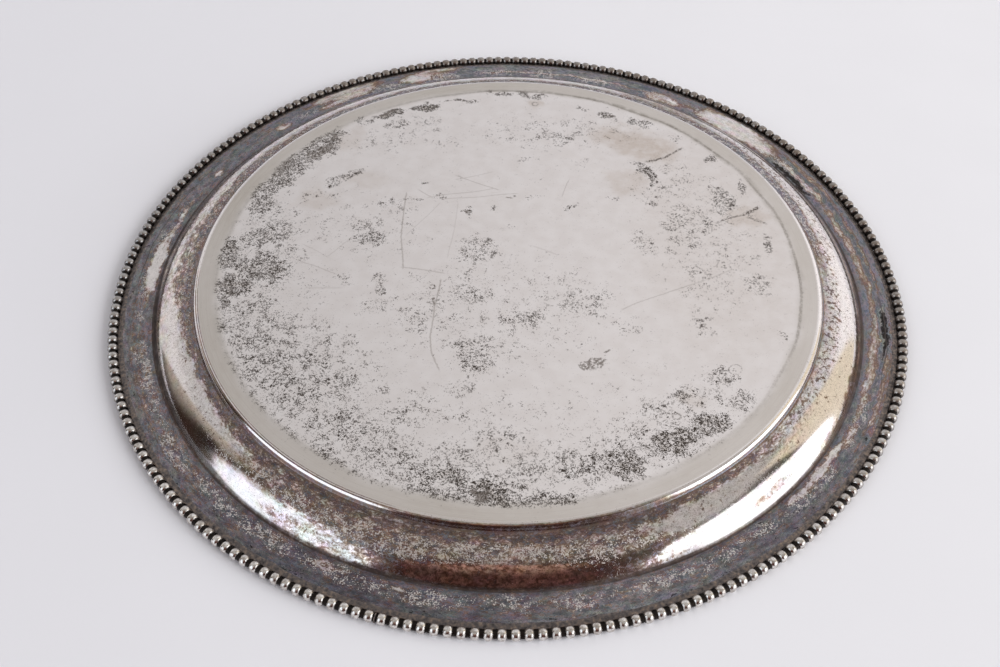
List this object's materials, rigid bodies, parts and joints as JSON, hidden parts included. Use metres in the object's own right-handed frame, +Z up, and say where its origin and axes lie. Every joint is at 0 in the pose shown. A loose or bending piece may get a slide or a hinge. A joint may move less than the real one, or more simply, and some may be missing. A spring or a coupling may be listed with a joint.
{
  "type": "salver",
  "caption": "Round salver with a flat base, a small step, a curved bouge, a flat rim and a beaded border; it lies face down.",
  "frame": {"origin": "centre of the circle on the table that the beaded border rests on, with the salver lying face down", "axes": "+Z up, out of the flat base; the serving side faces -Z; +X and +Y lie in the table, and the joint in the beaded wire is at 105.7 degrees clockwise from +X"},
  "size_m": [0.3, 0.3, 0.0134],
  "materials": {
    "tarnished_silver": "worn, pitted and tarnished silver plate",
    "beaded_wire": "bright silver beads with blackened grooves",
    "dark_solder": "oxidised silver solder"
  },
  "bodies": {
    "root": {"salver_body": "tarnished_silver", "bead_border": "beaded_wire", "border_solder": "dark_solder", "wire_joint_solder": "dark_solder"}
  },
  "joints": []
}
